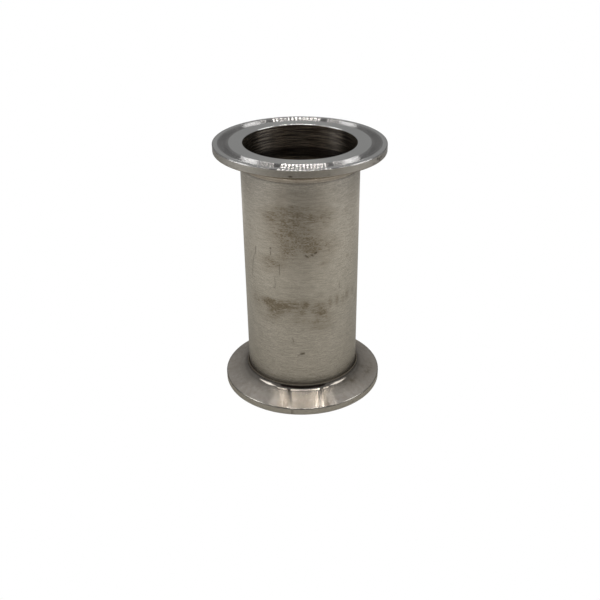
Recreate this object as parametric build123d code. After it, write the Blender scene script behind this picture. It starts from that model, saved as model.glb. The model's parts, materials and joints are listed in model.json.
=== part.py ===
from build123d import *
from math import radians, tan, sin
import os

# Sanitary spool pipe, in millimetres: a straight stainless tube with a clamp ferrule butt-welded to
# each end. The origin is the centre of the lower gasket face, and +Z runs up the pipe's axis.

# Pipe
overall_length = 100.0  # gasket face to gasket face
tube_diameter = 44.5  # outside
tube_wall = 1.2
weld_depth = 11.0  # from a gasket face to the weld behind it

# Clamp rim
rim_diameter = 64.0
rim_thickness = 2.85  # gasket face to the outer edge of the cone
cone_angle = 20.0  # the cone that the clamp squeezes, from the plane of the face
rim_face_radius = 0.3
rim_back_radius = 0.5
neck_radius = 2.5  # fillet between the cone and the neck

# Gasket face
mouth_radius = 0.3  # rounding where the face turns into the bore
groove_inset = 3.85  # rim's edge to the middle of the gasket groove
groove_depth = 1.6
groove_floor_radius = 1.2
groove_flank_angle = 25.0  # each flank, from the pipe's axis
groove_lip_radius = 0.8


def ferrule_outline():
    """A ferrule's half section: each corner as (radius, height above the gasket face), and its rounding."""
    bore = tube_diameter / 2 - tube_wall
    neck = tube_diameter / 2
    rim = rim_diameter / 2
    groove = rim - groove_inset
    # The flanks, carried on below the floor's arc, meet at a point under the middle of the groove.
    flank = radians(groove_flank_angle)
    flanks_meet = groove_depth + groove_floor_radius * (1 / sin(flank) - 1)
    groove_half_width = flanks_meet * tan(flank)
    cone_meets_neck = rim_thickness + (rim - neck) * tan(radians(cone_angle))
    return [
        ((bore, 0), mouth_radius),
        ((groove - groove_half_width, 0), groove_lip_radius),
        ((groove, flanks_meet), groove_floor_radius),
        ((groove + groove_half_width, 0), groove_lip_radius),
        ((rim, 0), rim_face_radius),
        ((rim, rim_thickness), rim_back_radius),
        ((neck, cone_meets_neck), neck_radius),
        ((neck, weld_depth), 0),
        ((bore, weld_depth), 0),
    ]


def ferrule():
    """One ferrule with its gasket face down on the origin: the half section turned about Z."""
    corners, roundings = zip(*ferrule_outline())
    with BuildPart() as turned:
        with BuildSketch(Plane.XZ):
            with BuildLine():
                FilletPolyline(*corners, radius=roundings, close=True)
            make_face()
        revolve(axis=Axis.Z)
    return turned.part


def tube():
    """The plain tube, from the lower weld to the upper one."""
    with BuildPart() as drawn:
        with BuildSketch(Plane.XY.offset(weld_depth)):
            Circle(tube_diameter / 2)
            Circle(tube_diameter / 2 - tube_wall, mode=Mode.SUBTRACT)
        extrude(amount=overall_length - 2 * weld_depth)
    return drawn.part


lower_ferrule = ferrule()
upper_ferrule = Pos(0, 0, overall_length) * Rot(180, 0, 0) * ferrule()

os.makedirs("parts", exist_ok=True)
export_step(lower_ferrule, "parts/lower_ferrule.step")
export_step(tube(), "parts/spool_tube.step")
export_step(upper_ferrule, "parts/upper_ferrule.step")
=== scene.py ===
import bpy
import json
import numpy as np
from math import pi, radians, sin, tan
from mathutils import Matrix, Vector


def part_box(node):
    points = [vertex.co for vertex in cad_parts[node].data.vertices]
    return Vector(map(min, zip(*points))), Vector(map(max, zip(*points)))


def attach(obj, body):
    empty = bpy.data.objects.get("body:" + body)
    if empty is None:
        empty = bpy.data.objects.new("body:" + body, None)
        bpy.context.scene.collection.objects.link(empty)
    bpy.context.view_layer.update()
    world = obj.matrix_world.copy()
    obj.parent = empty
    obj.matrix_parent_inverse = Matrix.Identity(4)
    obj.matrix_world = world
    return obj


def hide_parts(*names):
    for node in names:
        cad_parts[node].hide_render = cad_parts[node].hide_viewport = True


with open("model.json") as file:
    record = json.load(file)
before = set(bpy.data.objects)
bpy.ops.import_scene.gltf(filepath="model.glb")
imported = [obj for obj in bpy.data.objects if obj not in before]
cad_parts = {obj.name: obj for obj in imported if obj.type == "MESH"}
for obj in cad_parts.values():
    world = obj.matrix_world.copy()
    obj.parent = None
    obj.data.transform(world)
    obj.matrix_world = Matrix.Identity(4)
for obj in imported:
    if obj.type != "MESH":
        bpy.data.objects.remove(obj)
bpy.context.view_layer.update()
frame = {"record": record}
mm = 0.001

# Clamp ferrules. Each is one turned piece of stainless bar: a gasket face with a ring groove, a rim, the
# sloped back that the clamp squeezes, and a short neck. The face is polished bright, the rim is left satin
# and the slope keeps its lathe marks. A ferrule is made by turning its half section about the pipe's axis.

mounts = {mount["name"]: mount for mount in frame["record"]["mounts"]}
bore_radius = mounts["bore"]["dims"]["r_mm"] * mm
rim_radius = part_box("lower_ferrule")[1][0]
tube_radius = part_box("spool_tube")[1][0]
weld_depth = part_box("lower_ferrule")[1][2]
pipe_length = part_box("upper_ferrule")[1][2]

rim_thickness = 2.85 * mm
rim_face_rounding = 0.3 * mm
rim_back_rounding = 0.5 * mm
mouth_rounding = 0.3 * mm
cone_slope = radians(20)
neck_rounding = 2.5 * mm
groove_inset = 3.85 * mm  # from the rim's edge to the middle of the groove
groove_radius = rim_radius - groove_inset
groove_depth = 1.6 * mm
groove_floor_radius = 1.2 * mm
groove_lip_rounding = 0.8 * mm
groove_flank = radians(25)
around = 400  # steps in a full turn


def turned_section(corners):
    """Walks round a closed half section, anticlockwise in (radius, height), and returns its steps.

    A corner is (radius, height, rounding, steps in the arc, steps in the side after it, finish of the arc,
    finish of that side). The rounding's arc touches both sides rounding / tan(half angle) from the corner,
    and its points stand at equal angles about a centre on the bisector. The result holds, for each step,
    where it starts, the outward normals at its two ends and its finish.
    """
    starts, normals_in, normals_out, finishes = [], [], [], []
    points = np.array([corner[:2] for corner in corners])
    before = points - np.roll(points, 1, 0)
    after = np.roll(points, -1, 0) - points
    before /= np.linalg.norm(before, axis=1)[:, None]
    after /= np.linalg.norm(after, axis=1)[:, None]
    turn = np.arctan2(before[:, 0] * after[:, 1] - before[:, 1] * after[:, 0], (before * after).sum(1))
    rounding = np.array([corner[2] for corner in corners])
    reach = rounding * np.tan(np.abs(turn) / 2)
    for k, (_, _, radius, arc_steps, side_steps, arc_finish, side_finish) in enumerate(corners):
        first, last = points[k] - before[k] * reach[k], points[k] + after[k] * reach[k]
        if radius:
            side = np.sign(turn[k])
            centre = first + side * radius * np.array([-before[k][1], before[k][0]])
            begin = np.arctan2(first[1] - centre[1], first[0] - centre[0])
            angles = begin + turn[k] * np.linspace(0, 1, arc_steps + 1)
            rays = np.stack([np.cos(angles), np.sin(angles)], 1)
            starts.append((centre + radius * rays)[:-1])
            normals_in.append(side * rays[:-1])
            normals_out.append(side * rays[1:])
            finishes += [arc_finish] * arc_steps
        following = (k + 1) % len(corners)
        end = points[following] - before[following] * reach[following]
        share = np.linspace(0, 1, side_steps + 1)[:-1, None]
        starts.append(last + (end - last) * share)
        normal = np.tile([after[k][1], -after[k][0]], (side_steps, 1))
        normals_in.append(normal)
        normals_out.append(normal)
        finishes += [side_finish] * side_steps
    return np.concatenate(starts), np.concatenate(normals_in), np.concatenate(normals_out), finishes


def turned_piece(name, corners, materials, turned_over=False):
    """Turns a half section about Z: (radius cos a, radius sin a, height) for equally spaced angles a.

    Its UV map holds the turn in u and the distance walked round the section, in metres, in v. A piece that
    is turned over is swung half a turn about X and stood with its face at the pipe's top.
    """
    section, normals_in, normals_out, finishes = turned_section(corners)
    rings = len(section)
    angle = np.linspace(0, 2 * pi, around, endpoint=False)
    spin = np.stack([np.cos(angle), np.sin(angle)], 1)

    def turn(profile):
        """A row of (radius, height) pairs swung to every angle."""
        radial = profile[:, None, :1] * spin[None]
        return np.concatenate([radial, np.broadcast_to(profile[:, None, 1:], radial.shape[:2] + (1,))], 2)

    swing = np.array([1.0, -1.0, -1.0]) if turned_over else np.ones(3)
    lift = np.array([0.0, 0.0, pipe_length]) if turned_over else np.zeros(3)
    vertices = (turn(section) * swing + lift).reshape(-1, 3)
    ring, step = np.meshgrid(np.arange(rings), np.arange(around), indexing="ij")
    next_ring, next_step = (ring + 1) % rings, (step + 1) % around
    quads = np.stack([ring * around + step, ring * around + next_step,
                      next_ring * around + next_step, next_ring * around + step], 2).reshape(-1, 4)
    mesh = bpy.data.meshes.new(name)
    mesh.from_pydata(vertices.tolist(), [], quads.tolist())
    for material in materials:
        mesh.materials.append(material)
    slots = [material.name for material in materials]
    mesh.polygons.foreach_set("material_index", np.repeat([slots.index(f) for f in finishes], around))
    mesh.polygons.foreach_set("use_smooth", np.ones(len(quads), bool))

    walked = np.concatenate([[0], np.cumsum(np.linalg.norm(np.roll(section, -1, 0) - section, axis=1))])
    u = np.stack([step, step + 1, step + 1, step], 2) / around
    v = np.stack([walked[ring], walked[ring], walked[ring + 1], walked[ring + 1]], 2)
    mesh.uv_layers.new(name="turning").data.foreach_set("uv", np.stack([u, v], 3).ravel())

    inner, outer = turn(normals_in) * swing, turn(normals_out) * swing
    corner_normals = np.stack([inner, np.roll(inner, -1, 1), np.roll(outer, -1, 1), outer], 2).reshape(-1, 3)
    mesh.normals_split_custom_set(corner_normals.tolist())
    piece = bpy.data.objects.new(name, mesh)
    bpy.context.collection.objects.link(piece)
    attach(piece, "root")
    return piece


def follow_rings(tree, shader):
    """Lays a finish's smear by the tool's rings, which run round the pipe."""
    rings = tree.nodes.new("ShaderNodeTangent")
    rings.direction_type = "RADIAL"
    rings.axis = "Z"
    tree.links.new(rings.outputs["Tangent"], shader.inputs["Tangent"])


def steel(name, colour, roughness, anisotropy):
    """A bare stainless finish. Its highlights stretch across the tool's rings."""
    material = bpy.data.materials.new(name)
    material.use_nodes = True
    tree = material.node_tree
    shader = tree.nodes["Principled BSDF"]
    shader.inputs["Base Color"].default_value = (*colour, 1)
    shader.inputs["Metallic"].default_value = 1
    shader.inputs["Roughness"].default_value = roughness
    shader.inputs["Anisotropic"].default_value = anisotropy
    shader.inputs["Anisotropic Rotation"].default_value = 0.25
    follow_rings(tree, shader)
    return material, tree, shader


def ringed_steel(name, colour, roughness, anisotropy):
    """Bare steel with tool rings too fine to see one by one: they smear its lights straight across them.

    The smear is roughness squared / (1 - anisotropy) across the rings and roughness squared
    times (1 - anisotropy) along them.
    """
    material = bpy.data.materials.new(name)
    material.use_nodes = True
    tree = material.node_tree
    tree.nodes.remove(tree.nodes["Principled BSDF"])
    shader = tree.nodes.new("ShaderNodeBsdfAnisotropic")
    shader.inputs["Color"].default_value = (*colour, 1)
    shader.inputs["Roughness"].default_value = roughness
    shader.inputs["Anisotropy"].default_value = anisotropy
    follow_rings(tree, shader)
    tree.links.new(shader.outputs[0], tree.nodes["Material Output"].inputs["Surface"])
    return material


def number(tree, operation, first, second):
    """A Math node of two numbers, each a plain value or another node's output."""
    node = tree.nodes.new("ShaderNodeMath")
    node.operation = operation
    for socket, value in zip(node.inputs, (first, second)):
        if isinstance(value, (int, float)):
            socket.default_value = value
        else:
            tree.links.new(value, socket)
    return node.outputs[0]


def spread(tree, value, low, high, to_low=0.0, to_high=1.0, smooth=False):
    """The value moved from the range low..high to to_low..to_high, evenly or easing in and out."""
    node = tree.nodes.new("ShaderNodeMapRange")
    if smooth:
        node.interpolation_type = "SMOOTHSTEP"
    for name, amount in (("From Min", low), ("From Max", high), ("To Min", to_low), ("To Max", to_high)):
        node.inputs[name].default_value = amount
    tree.links.new(value, node.inputs["Value"])
    return node.outputs[0]


def blend(tree, share, first, second, kind="MIX"):
    """Two colours mixed by a share. Any of the three may be a plain value or another node's output."""
    node = tree.nodes.new("ShaderNodeMix")
    node.data_type = "RGBA"
    node.blend_type = kind
    for socket, value in zip((node.inputs[0], node.inputs[6], node.inputs[7]), (share, first, second)):
        if isinstance(value, tuple):
            socket.default_value = (*value, 1)
        elif isinstance(value, (int, float)):
            socket.default_value = value
        else:
            tree.links.new(value, socket)
    return node.outputs[2]

def scaled(tree, colour, factor):
    """The colour times a factor, both of them other nodes' outputs."""
    node = tree.nodes.new("ShaderNodeVectorMath")
    node.operation = "SCALE"
    tree.links.new(colour, node.inputs[0])
    tree.links.new(factor, node.inputs["Scale"])
    return node.outputs[0]


def ramped(tree, value, stops, kind="LINEAR"):
    """A colour for each value from 0 to 1: stops are (value, colour), blended between."""
    ramp = tree.nodes.new("ShaderNodeValToRGB")
    ramp.color_ramp.interpolation = kind
    ends = ramp.color_ramp.elements
    for end, (place, colour) in zip(ends, (stops[0], stops[-1])):
        end.position = place
        end.color = (*colour, 1)
    for place, colour in stops[1:-1]:
        ends.new(place).color = (*colour, 1)
    tree.links.new(value, ramp.inputs[0])
    return ramp.outputs[0]


def up_the_pipe(tree, stops, kind="LINEAR"):
    """A colour for each height: stops are (share of the pipe's length, colour), blended between."""
    place = tree.nodes.new("ShaderNodeTexCoord")
    split = tree.nodes.new("ShaderNodeSeparateXYZ")
    tree.links.new(place.outputs["Object"], split.inputs[0])
    return ramped(tree, spread(tree, split.outputs["Z"], 0, pipe_length), stops, kind)


def tool_rings(tree, shader, spacing, depth, drag=0.02):
    """Fine rings left by the tool: noise of this spacing across the section, as a bump of this depth.

    Round the pipe the noise is drawn out by 1 / drag.
    """
    place = tree.nodes.new("ShaderNodeTexCoord")
    across = tree.nodes.new("ShaderNodeUVMap")
    across.uv_map = "turning"
    split_place = tree.nodes.new("ShaderNodeSeparateXYZ")
    split_across = tree.nodes.new("ShaderNodeSeparateXYZ")
    join = tree.nodes.new("ShaderNodeCombineXYZ")
    tree.links.new(place.outputs["Object"], split_place.inputs[0])
    tree.links.new(across.outputs["UV"], split_across.inputs[0])
    for axis, source, share in (("X", split_place.outputs["X"], drag), ("Y", split_place.outputs["Y"], drag),
                                ("Z", split_across.outputs["Y"], 1)):
        tree.links.new(number(tree, "MULTIPLY", source, share / spacing), join.inputs[axis])
    noise = tree.nodes.new("ShaderNodeTexNoise")
    noise.inputs["Scale"].default_value = 1
    noise.inputs["Detail"].default_value = 1
    noise.inputs["Roughness"].default_value = 0.5
    tree.links.new(join.outputs[0], noise.inputs["Vector"])
    bump = tree.nodes.new("ShaderNodeBump")
    bump.inputs["Distance"].default_value = depth
    tree.links.new(noise.outputs["Fac"], bump.inputs["Height"])
    tree.links.new(bump.outputs["Normal"], shader.inputs["Normal"])
    return noise.outputs["Fac"]


def streaks(tree, around_scale, along_scale, detail):
    """Noise on the piece's own place, finer up the pipe than round it."""
    place = tree.nodes.new("ShaderNodeTexCoord")
    stretch = tree.nodes.new("ShaderNodeMapping")
    stretch.inputs["Scale"].default_value = (around_scale, around_scale, along_scale)
    noise = tree.nodes.new("ShaderNodeTexNoise")
    noise.inputs["Scale"].default_value = 1
    noise.inputs["Detail"].default_value = detail
    noise.inputs["Roughness"].default_value = 0.6
    tree.links.new(place.outputs["Object"], stretch.inputs["Vector"])
    tree.links.new(stretch.outputs[0], noise.inputs["Vector"])
    return noise.outputs["Fac"]


def painted_root_shade(tree, colour):
    """The finish's colour, darkened towards the roots of the two necks: painted shade in the crease where the
    slope meets the neck, which also dims the lamps' highlight there.

    Going up, it falls smoothly from the slope's rim to a third of the colour near 8 mm and is back to all
    of it by 12 mm. In the upper root it falls to a little over half.
    """
    lower_root = ((0.036, 1), (0.045, 0.92), (0.053, 0.74), (0.060, 0.40), (0.067, 0.34), (0.077, 0.32),
                  (0.086, 0.40), (0.10, 0.80), (0.118, 1))
    upper_root = ((0.911, 1), (0.917, 0.65), (0.923, 0.55), (0.931, 1))
    kept = [(height, (share, share, share)) for height, share in lower_root + upper_root]
    return blend(tree, 1.0, colour, up_the_pipe(tree, kept, "EASE"), "MULTIPLY")


def brushed_steel(name):
    """Steel brushed round the pipe, with pale and dark hairlines.

    Returns the material, its shader, the brushing's grain and its colour, which is yet to be joined on.
    """
    dark_line, pale_line = (0.47, 0.448, 0.405), (0.70, 0.67, 0.615)
    material, tree, shader = steel(name, colour=(0.60, 0.57, 0.52), roughness=0.27, anisotropy=0.7)
    tool_rings(tree, shader, spacing=0.7 * mm, depth=0.003 * mm)
    brushing, grain = streaks(tree, 300, 2600, 3), streaks(tree, 1300, 3000, 2)
    fine = number(tree, "ADD", number(tree, "MULTIPLY", brushing, 0.5), number(tree, "MULTIPLY", grain, 0.5))
    colour = blend(tree, spread(tree, fine, 0.38, 0.62), dark_line, pale_line)
    return material, shader, grain, colour


def wear(angle, height, smudges, marks):
    """How smudged and how marked a piece is at an angle in degrees and a height in millimetres.

    A smudge is an oval that falls off as exp(-((across / half width)^2 + (up / half height)^2)^1.3), and a
    mark a bell curve of the distance to its line. The marks together are then deepened.
    """
    deepening = 1.4
    smudged, marked = np.zeros_like(angle), np.zeros_like(angle)
    for across, up, width, tall, strength in smudges:
        apart = (angle - across + 180) % 360 - 180
        smudged += strength * np.exp(-((apart / width) ** 2 + ((height - up) / tall) ** 2) ** 1.3)
    arc = np.radians(1) * tube_radius / mm
    for across, up, across_end, up_end, width, strength in marks:
        away = np.stack([((angle - across + 180) % 360 - 180) * arc, height - up], 1)
        line = np.array([(across_end - across) * arc, up_end - up])
        length = max(line @ line, 1e-9)
        near = np.clip(away @ line / length, 0, 1)[:, None] * line
        marked += strength * np.exp(-((away - near) ** 2).sum(1) / width**2)
    return np.clip(smudged, 0, 1), np.clip(deepening * marked, 0, 1)


def worn(piece, smudges, marks):
    """Writes the wear at each vertex of a turned piece to its attributes smudged and marked."""
    place = np.empty(len(piece.data.vertices) * 3)
    piece.data.vertices.foreach_get("co", place)
    place = place.reshape(-1, 3)
    turned = np.degrees(np.arctan2(place[:, 0], -place[:, 1]))
    for name, amount in zip(("smudged", "marked"), wear(turned, place[:, 2] / mm, smudges, marks)):
        piece.data.attributes.new(name, "FLOAT", "POINT").data.foreach_set("value", amount.astype(np.float32))


def stained(tree, colour, grain):
    """The colour under the piece's smudges, broken up by patches and by its grain, and under its marks."""
    smudge_brown, mark_black = (0.27, 0.23, 0.175), (0.10, 0.08, 0.06)
    smudged = tree.nodes.new("ShaderNodeAttribute")
    smudged.attribute_name = "smudged"
    marked = tree.nodes.new("ShaderNodeAttribute")
    marked.attribute_name = "marked"
    patches = streaks(tree, 350, 1100, 4)
    mottled = number(tree, "MULTIPLY", smudged.outputs["Fac"], spread(tree, patches, 0.3, 0.7, 0.6, 1.7))
    mottled = number(tree, "MULTIPLY", mottled, spread(tree, grain, 0.3, 0.7, 0.3, 2.1))
    colour = blend(tree, mottled, colour, smudge_brown)
    return blend(tree, marked.outputs["Fac"], colour, mark_black)


def polished_face():
    """Bright machine-polished steel, with very fine rings."""
    pale = (0.60, 0.60, 0.585)
    material, tree, shader = steel("polished_face", colour=pale, roughness=0.22, anisotropy=0.9)
    tool_rings(tree, shader, spacing=0.3 * mm, depth=0.004 * mm)
    return material


def turned_groove():
    """The gasket groove, turned with a pointed tool: bright, with rings steep enough to spread its lights."""
    return ringed_steel("turned_groove", colour=(0.64, 0.63, 0.62), roughness=0.27, anisotropy=0.91)


def satin_rim():
    """Satin steel on the rim's edge, with a few smudges and dark nicks."""
    dark_grain, pale_grain = (0.54, 0.52, 0.48), (0.66, 0.64, 0.60)
    material, tree, shader = steel("satin_rim", colour=(0.60, 0.58, 0.54), roughness=0.34, anisotropy=0.6)
    tool_rings(tree, shader, spacing=0.4 * mm, depth=0.002 * mm)
    grain = streaks(tree, 900, 2200, 2)
    colour = blend(tree, spread(tree, grain, 0.35, 0.65), dark_grain, pale_grain)
    tree.links.new(stained(tree, colour, grain), shader.inputs["Base Color"])
    return material


def turned_slope():
    """The clamp's slope and its fillet, as the lathe left them, with painted shade in the fillet."""
    dark_grain, pale_grain = (0.54, 0.485, 0.425), (0.67, 0.625, 0.565)
    material = ringed_steel("turned_slope", colour=(0.62, 0.57, 0.51), roughness=0.12, anisotropy=0.70)
    tree = material.node_tree
    grain = streaks(tree, 500, 500, 3)
    colour = blend(tree, spread(tree, grain, 0.3, 0.7), dark_grain, pale_grain)
    colour = painted_root_shade(tree, stained(tree, colour, grain))
    tree.links.new(colour, tree.nodes["Glossy BSDF"].inputs["Color"])
    return material


def edge_painted_shade():
    """The rounded edge behind the rim, darkened with painted shade that dims its highlight to a dark line."""
    return ringed_steel("edge_painted_shade", colour=(0.38, 0.36, 0.33), roughness=0.2, anisotropy=0.7)


def bored_wall():
    """The inside of the pipe, with coarser rings, stained dark by the heat of each weld. The whole wall is
    also darker than the steel outside: painted shade down the bore.

    A stain reaches a little further towards the open end of the pipe than away from it.
    """
    plain, stain = (0.36, 0.32, 0.27), (0.10, 0.09, 0.08)
    inward = ((-0.025, plain), (-0.017, stain), (0.013, stain), (0.025, plain))
    weld = weld_depth / pipe_length
    stops = [(weld + share, tone) for share, tone in inward]
    stops += [(1 - weld - share, tone) for share, tone in reversed(inward)]
    material, tree, shader = steel("bored_wall", colour=(0.30, 0.27, 0.235), roughness=0.22, anisotropy=0.88)
    rings = tool_rings(tree, shader, spacing=0.4 * mm, depth=0.025 * mm, drag=0.04)
    tint = scaled(tree, up_the_pipe(tree, stops), spread(tree, rings, 0.35, 0.65, 0.35, 1.8))
    tree.links.new(tint, shader.inputs["Base Color"])
    return material


def brushed_neck():
    """The neck behind the clamp's slope, brushed round like the tube, with painted shade at its root."""
    material, shader, _, colour = brushed_steel("brushed_neck")
    material.node_tree.links.new(painted_root_shade(material.node_tree, colour), shader.inputs["Base Color"])
    return material


finishes = [polished_face(), turned_groove(), satin_rim(), edge_painted_shade(), turned_slope(), bored_wall(),
            brushed_neck()]

# The half section's corners, in the form that turned_section takes, from the mouth of the bore. The groove's
# flanks, carried on below the arc of its floor, meet at a point under its middle.
flanks_meet = groove_depth + groove_floor_radius * (1 / sin(groove_flank) - 1)
groove_half_width = flanks_meet * tan(groove_flank)
cone_meets_neck = rim_thickness + (rim_radius - tube_radius) * tan(cone_slope)
ferrule_corners = [
    (bore_radius, 0, mouth_rounding, 8, 8, "polished_face", "polished_face"),
    (groove_radius - groove_half_width, 0, groove_lip_rounding, 12, 3, "turned_groove", "turned_groove"),
    (groove_radius, flanks_meet, groove_floor_radius, 32, 3, "turned_groove", "turned_groove"),
    (groove_radius + groove_half_width, 0, groove_lip_rounding, 12, 6, "turned_groove", "polished_face"),
    (rim_radius, 0, rim_face_rounding, 10, 6, "turned_groove", "satin_rim"),
    # The rim's back rounding takes the darkened edge finish: painted shade.
    (rim_radius, rim_thickness, rim_back_rounding, 10, 20, "edge_painted_shade", "turned_slope"),
    (tube_radius, cone_meets_neck, neck_rounding, 30, 6, "turned_slope", "brushed_neck"),
    (tube_radius, weld_depth, 0, 0, 1, "bored_wall", "bored_wall"),
    (bore_radius, weld_depth, 0, 0, 12, "bored_wall", "bored_wall"),
]

# Wear on the ferrules. Each smudge: degrees round from the front, millimetres up, half width in degrees,
# half height, strength. Each mark: where it starts and ends, its half width in millimetres, its strength.
ferrule_smudges = {
    "lower_ferrule": [(66, 5.2, 26, 1.3, 0.3), (47, 5.8, 12, 1.0, 0.2), (84, 4.0, 14, 1.0, 0.2),
                      (-64, 5.4, 26, 1.0, 0.08), (-86, 4.3, 10, 1.0, 0.1), (150, 5, 40, 1.5, 0.15)],
    "upper_ferrule": [(30, 98.4, 25, 1.5, 0.12), (-20, 98.2, 30, 1.2, 0.08), (160, 98.5, 40, 1.2, 0.1)],
}
ferrule_marks = {
    "lower_ferrule": [(-7.9, 0.5, -7.7, 2.3, 0.22, 0.5), (38, 1.0, 38.6, 1.3, 0.3, 0.3)],
    "upper_ferrule": [(-6.6, 97.7, -5.6, 97.6, 0.3, 0.9), (57.2, 99.1, 57.9, 98.7, 0.35, 0.7),
                      (60, 98.7, 60.6, 98.0, 0.35, 0.7), (62.4, 99, 62.9, 98.6, 0.3, 0.6),
                      (52, 98.0, 53.5, 97.8, 0.25, 0.4), (17, 97.9, 17.5, 97.9, 0.25, 0.3)],
}

for node in ("lower_ferrule", "upper_ferrule"):
    ferrule = turned_piece(node + "_turned", ferrule_corners, finishes, turned_over=node == "upper_ferrule")
    worn(ferrule, ferrule_smudges[node], ferrule_marks[node])
    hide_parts(node)

# Tube. A length of thin-walled stainless tube, welded edge to edge to both ferrules and ground flush
# outside. It is brushed round its axis, and handling has left brown smudges, specks and scratches on it.

tube_corners = [
    (bore_radius, weld_depth, 0, 0, 1, "bored_wall", "bored_wall"),
    (tube_radius, weld_depth, 0, 0, 215, "brushed_tube", "brushed_tube"),
    (tube_radius, pipe_length - weld_depth, 0, 0, 1, "bored_wall", "bored_wall"),
    (bore_radius, pipe_length - weld_depth, 0, 0, 20, "bored_wall", "bored_wall"),
]

# Each smudge: degrees round from the front, millimetres up, half width in degrees, half height, strength.
smudges = [
    (-4, 73, 34, 14, 0.2), (-2, 42, 45, 7, 0.1), (0, 60, 60, 40, 0.07), (-12, 78, 25.3, 4.5, 0.22),
    (-30, 79, 9.2, 2.5, 0.18), (-8, 82, 14.9, 1.8, 0.14), (23, 79, 10.3, 3.5, 0.22),
    (-15, 71, 14.9, 4, 0.2), (7, 69, 10.3, 3.5, 0.27), (12, 66, 5.8, 2.5, 0.22), (26, 67, 12.6, 4, 0.18),
    (-15, 65, 10.3, 3, 0.16), (-30, 60.5, 13.8, 2.6, 0.32), (-35, 57, 9.2, 1.4, 0.14),
    (23, 60.5, 5.8, 1.4, 0.18), (-35, 43.6, 8, 1.6, 0.65), (-21, 43.4, 11, 1.9, 0.5),
    (-28, 40.3, 9, 2.4, 0.5), (-8, 43, 8, 2.6, 0.3), (3, 43.8, 3.5, 2.3, 0.45), (0, 40.5, 3, 1.2, 0.25),
    (17, 41.8, 9, 3, 0.35), (21, 39.4, 5, 1.4, 0.35), (29, 43.5, 2.5, 2.5, 0.28),
    (37, 43.8, 2.6, 2.4, 0.32), (45, 43.6, 3, 2, 0.26), (51, 44.3, 2.6, 2.4, 0.32), (62, 44, 3, 2, 0.22),
    (72, 40, 3.5, 3, 0.35), (20, 35, 13, 3.5, 0.26), (-50, 42.5, 9, 3, 0.2), (-36, 36.5, 13, 1.8, 0.18),
    (-4, 37, 9, 2, 0.18), (47, 79.5, 2, 1, 0.2), (51, 60.7, 2, 0.8, 0.2), (118, 70, 20, 6, 0.22),
    (150, 48, 26, 4, 0.3), (185, 62, 18, 8, 0.2), (-140, 45, 24, 4, 0.32), (-110, 66, 16, 6, 0.2),
    (210, 28, 14, 4, 0.18),
]
# Each mark: where it starts and ends, as degrees round and millimetres up, its half width in millimetres
# and its strength. A mark that starts where it ends is a speck.
marks = [
    (-30.8, 66, -30.2, 66, 0.25, 0.9), (-30.5, 64.6, -30.5, 63.6, 0.2, 0.5),
    (3.5, 64.4, 6, 63.7, 0.22, 0.9), (9.5, 64.6, 11, 64.1, 0.28, 0.6),
    (12.8, 64.9, 14.4, 65.3, 0.25, 0.8), (-1.5, 22.3, 1.5, 22.5, 0.42, 0.65),
    (-4.4, 21.5, -3.6, 21.5, 0.22, 0.45), (-9.8, 29.6, -9.0, 27.6, 0.2, 0.35),
    (0.3, 33.1, 0.8, 33, 0.25, 0.3), (-49.4, 64.6, -50.6, 61.8, 0.25, 0.45),
    (-51, 61.6, -54.6, 58.8, 0.18, 0.25), (-54.8, 58.6, -57.2, 52.2, 0.2, 0.35),
    (-57.5, 52, -53, 51.6, 0.18, 0.3), (-26.8, 54.6, -26.4, 51, 0.18, 0.3),
    (-27.8, 50.3, -27, 50.3, 0.25, 0.45), (-21.6, 60, -21.4, 56, 0.18, 0.35),
    (39.4, 51, 40, 48.6, 0.25, 0.3), (-12, 81, -5, 77, 0.1, 0.12), (-31, 34.6, -30, 34.4, 0.3, 0.35),
]


def brushed_tube():
    """The outside of the tube: brushed round, with brown smudges that the brushing breaks up."""
    material, shader, grain, colour = brushed_steel("brushed_tube")
    tree = material.node_tree
    # The necks' painted root shade is laid on the tube too, where it reaches it.
    tree.links.new(painted_root_shade(tree, stained(tree, colour, grain)), shader.inputs["Base Color"])
    return material


finishes.append(brushed_tube())
tube = turned_piece("spool_tube_drawn", tube_corners, finishes)
worn(tube, smudges, marks)
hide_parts("spool_tube")

# Floor, light and camera. The pipe stands on a plain pale floor in a small light tent: grey bench, white
# walls and ceiling, open at the front, with rows of small lamps just under the ceiling.


def panels(name, corner, along, up, count=1, fill=1.0, fan=0.0, bow=0.0):
    """A row of flat tiles on the sheet corner + s along + t up, with s and t from 0 to 1.

    Each of the count tiles is as tall as the sheet and takes up a share, fill, of its own stretch of it. A
    fanned sheet is widened from x = 0 by fan times 1 - t, and a bowed one then moved back by bow times x^2.
    """
    corner, along, up = np.array(corner, float), np.array(along, float), np.array(up, float)
    s = (np.arange(count)[:, None] + 0.5 + fill * np.array([-0.5, 0.5, 0.5, -0.5])) / count
    t = np.broadcast_to([0.0, 0.0, 1.0, 1.0], s.shape)
    vertices = corner + s[..., None] * along + t[..., None] * up
    vertices[..., 0] *= 1 + fan * (1 - t)
    vertices[..., 1] += bow * vertices[..., 0] ** 2
    vertices = vertices.reshape(-1, 3)
    mesh = bpy.data.meshes.new(name)
    mesh.from_pydata(vertices.tolist(), [], np.arange(len(vertices)).reshape(-1, 4).tolist())
    piece = bpy.data.objects.new(name, mesh)
    bpy.context.collection.objects.link(piece)
    return piece


def paint(piece, colour, light=0.0, lamp=False):
    """Matt paint, or light of that colour if light is above 0. Only a lamp is sampled as a light source."""
    coat = bpy.data.materials.new(piece.name + "_paint")
    coat.use_nodes = True
    shader = coat.node_tree.nodes["Principled BSDF"]
    shader.inputs["Base Color"].default_value = (0, 0, 0, 1) if light else (*colour, 1)
    shader.inputs["Roughness"].default_value = 1
    shader.inputs["Specular IOR Level"].default_value = 0
    shader.inputs["Emission Color"].default_value = (*colour, 1)
    shader.inputs["Emission Strength"].default_value = light
    coat.cycles.emission_sampling = "FRONT_BACK" if lamp else "NONE"
    piece.data.materials.append(coat)
    return coat.node_tree, shader


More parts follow.
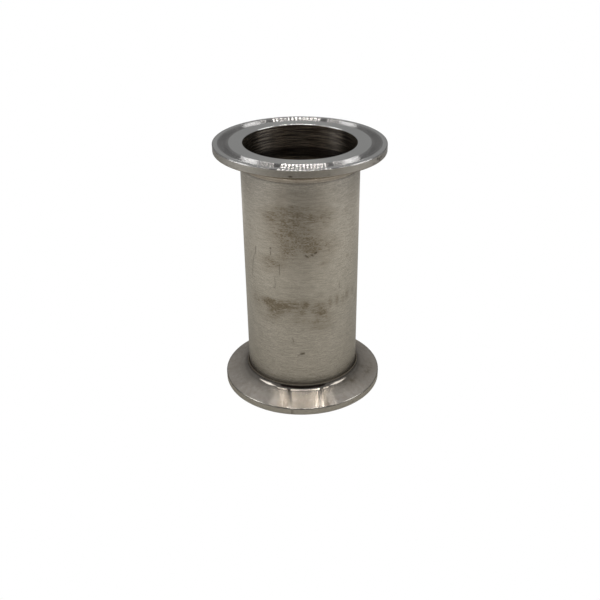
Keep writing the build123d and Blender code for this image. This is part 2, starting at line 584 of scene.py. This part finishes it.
def distance(tree, place, middle):
    """How far a place is from a fixed point, in metres."""
    node = tree.nodes.new("ShaderNodeVectorMath")
    node.operation = "DISTANCE"
    node.inputs[1].default_value = middle
    tree.links.new(place, node.inputs[0])
    return node.outputs["Value"]


def placed(tree):
    """A place on the piece, as one output, and the same place split into its three numbers."""
    place = tree.nodes.new("ShaderNodeTexCoord")
    split = tree.nodes.new("ShaderNodeSeparateXYZ")
    tree.links.new(place.outputs["Object"], split.inputs[0])
    return place.outputs["Object"], split.outputs


# The camera sees the white floor, and the steel reflects the bench that lies just over it.
white = (1, 1, 1)
reach = 3  # metres from the pipe to the edge of the floor
floor = panels("floor", (-reach, -reach, -0.0002), (2 * reach, 0, 0), (0, 2 * reach, 0))
paint(floor, white, 1)
for kind in ("diffuse", "glossy", "transmission", "shadow"):
    setattr(floor, "visible_" + kind, False)

# The bench's tone changes with the distance from the pipe's axis, in metres: painted light and shade for how
# the lamps light it, dark near the pipe and beyond the tent. It is darker round a point in front of the pipe,
# and behind the pipe: painted shadows. It also glows a little: painted light.
bench_tones = (
    (0.033, (0.295, 0.28, 0.246)), (0.07, (0.335, 0.32, 0.289)), (0.11, (0.375, 0.362, 0.322)),
    (0.16, (0.50, 0.476, 0.429)), (0.20, (0.84, 0.80, 0.73)), (0.26, (0.57, 0.545, 0.50)),
    (0.34, (0.04, 0.04, 0.04)),
)
bench_glow = 0.27
bench = panels("bench", (-reach, -reach, -0.0001), (2 * reach, 0, 0), (0, 2 * reach, 0))
tree, shader = paint(bench, white)
place, split = placed(tree)
tone = ramped(tree, distance(tree, place, (0, 0, 0)), bench_tones, "EASE")
front = distance(tree, place, (0, -0.28, 0))
front = spread(tree, front, low=0.03, high=0.20, to_low=0.76, to_high=1.1, smooth=True)
behind = spread(tree, split["Y"], low=0.0, high=0.12, to_low=1.0, to_high=0.72)
tone = scaled(tree, tone, number(tree, "MULTIPLY", front, behind))
for socket in ("Base Color", "Emission Color"):
    tree.links.new(tone, shader.inputs[socket])
shader.inputs["Emission Strength"].default_value = bench_glow

# Each wall: its first corner, the way it runs, its light and the share of it that is left at its foot.
tent = 0.26  # metres from the pipe to a wall
tent_height = 0.33
walls = []
for name, corner, along, light, foot in (
    ("left_wall", (-tent, -tent, 0), (0, 2 * tent, 0), 0.40, 0.3),
    ("right_wall", (tent, tent, 0), (0, -2 * tent, 0), 0.40, 0.3),
    ("back_wall", (-tent, tent, 0), (2 * tent, 0, 0), 0.32, 0.75),
):
    wall = panels(name, corner, along, (0, 0, tent_height))
    tree, shader = paint(wall, white, light)
    _, split = placed(tree)
    rise = spread(tree, split["Z"], low=0.02, high=0.12, to_low=foot, to_high=1.0, smooth=True)
    tree.links.new(rise, shader.inputs["Emission Color"])
    walls.append(wall)
ceiling = panels("ceiling", (-tent, -tent, tent_height), (2 * tent, 0, 0), (0, 2 * tent, 0))
paint(ceiling, white, 0.39)

# Each row of lamps: its left end, its width, how many lamps, their colour and their light. Rows narrow
# towards the back and bow back towards their ends, and a dark slot lies on each side of the middle row.
lamp_height = 0.297
lamp_front = -0.072
lamp_depth = 0.06
lamp_fill = 0.42
lamp_fan = 0.27
lamp_bow = 3.5
lamps = []
for name, left, width, count, colour, light in (
    ("middle_lamps", -0.056, 0.131, 13, (1, 0.97, 0.94), 32),
    ("left_lamps", -0.1143, 0.0423, 5, (1, 0.96, 0.92), 14),
    ("right_lamps", 0.091, 0.0243, 3, (1, 0.97, 0.94), 14),
    ("left_slot", -0.071, 0.010, 1, (0.01, 0.01, 0.01), 0),
    ("right_slot", 0.080, 0.010, 1, (0.01, 0.01, 0.01), 0),
):
    fill = lamp_fill if light else 1
    row = panels(name, (left, lamp_front, lamp_height), (width, 0, 0), (0, lamp_depth, 0), count, fill,
                 lamp_fan, lamp_bow)
    paint(row, colour, light, lamp=light > 0)
    lamps.append(row)

# A soft lamp hangs at each side, higher than the pipe's top.
glow_distance = 0.198
for name, side in (("left_glow", -glow_distance), ("right_glow", glow_distance)):
    glow = panels(name, (side, -0.08, 0.13), (0, 0.11, 0), (0, 0, 0.16))
    paint(glow, white, 4.0, lamp=True)
    lamps.append(glow)
for piece in (bench, *walls, ceiling, *lamps):
    piece.visible_camera = False

# Behind everything the camera sees white, and the steel reflects a dark room.
world = bpy.data.worlds.new("room")
bpy.context.scene.world = world
world.use_nodes = True
tree = world.node_tree
room = tree.nodes["Background"]
room.inputs["Color"].default_value = (0.03, 0.027, 0.024, 1)
pale = tree.nodes.new("ShaderNodeBackground")
pale.inputs["Color"].default_value = (*white, 1)
seen = tree.nodes.new("ShaderNodeLightPath")
choose = tree.nodes.new("ShaderNodeMixShader")
tree.links.new(seen.outputs["Is Camera Ray"], choose.inputs["Fac"])
tree.links.new(room.outputs[0], choose.inputs[1])
tree.links.new(pale.outputs[0], choose.inputs[2])
tree.links.new(choose.outputs[0], tree.nodes["World Output"].inputs["Surface"])

bpy.context.scene.view_settings.view_transform = "Standard"

camera_place = (0, -0.2967, 0.1926)
camera_turn = radians(-2.42)
camera_tilt = radians(31.15)  # down from level
camera_roll = radians(0.59)
camera_data = bpy.data.cameras.new("camera")
camera = bpy.data.objects.new("camera", camera_data)
bpy.context.collection.objects.link(camera)
bpy.context.scene.camera = camera
camera_data.sensor_width = 36
camera_data.lens = 49.6
camera_data.shift_x = -0.0539
camera_data.shift_y = 0.0737
camera.matrix_world = (
    Matrix.Translation(camera_place)
    @ Matrix.Rotation(camera_turn, 4, "Z")
    @ Matrix.Rotation(radians(90) - camera_tilt, 4, "X")
    @ Matrix.Rotation(camera_roll, 4, "Z")
)
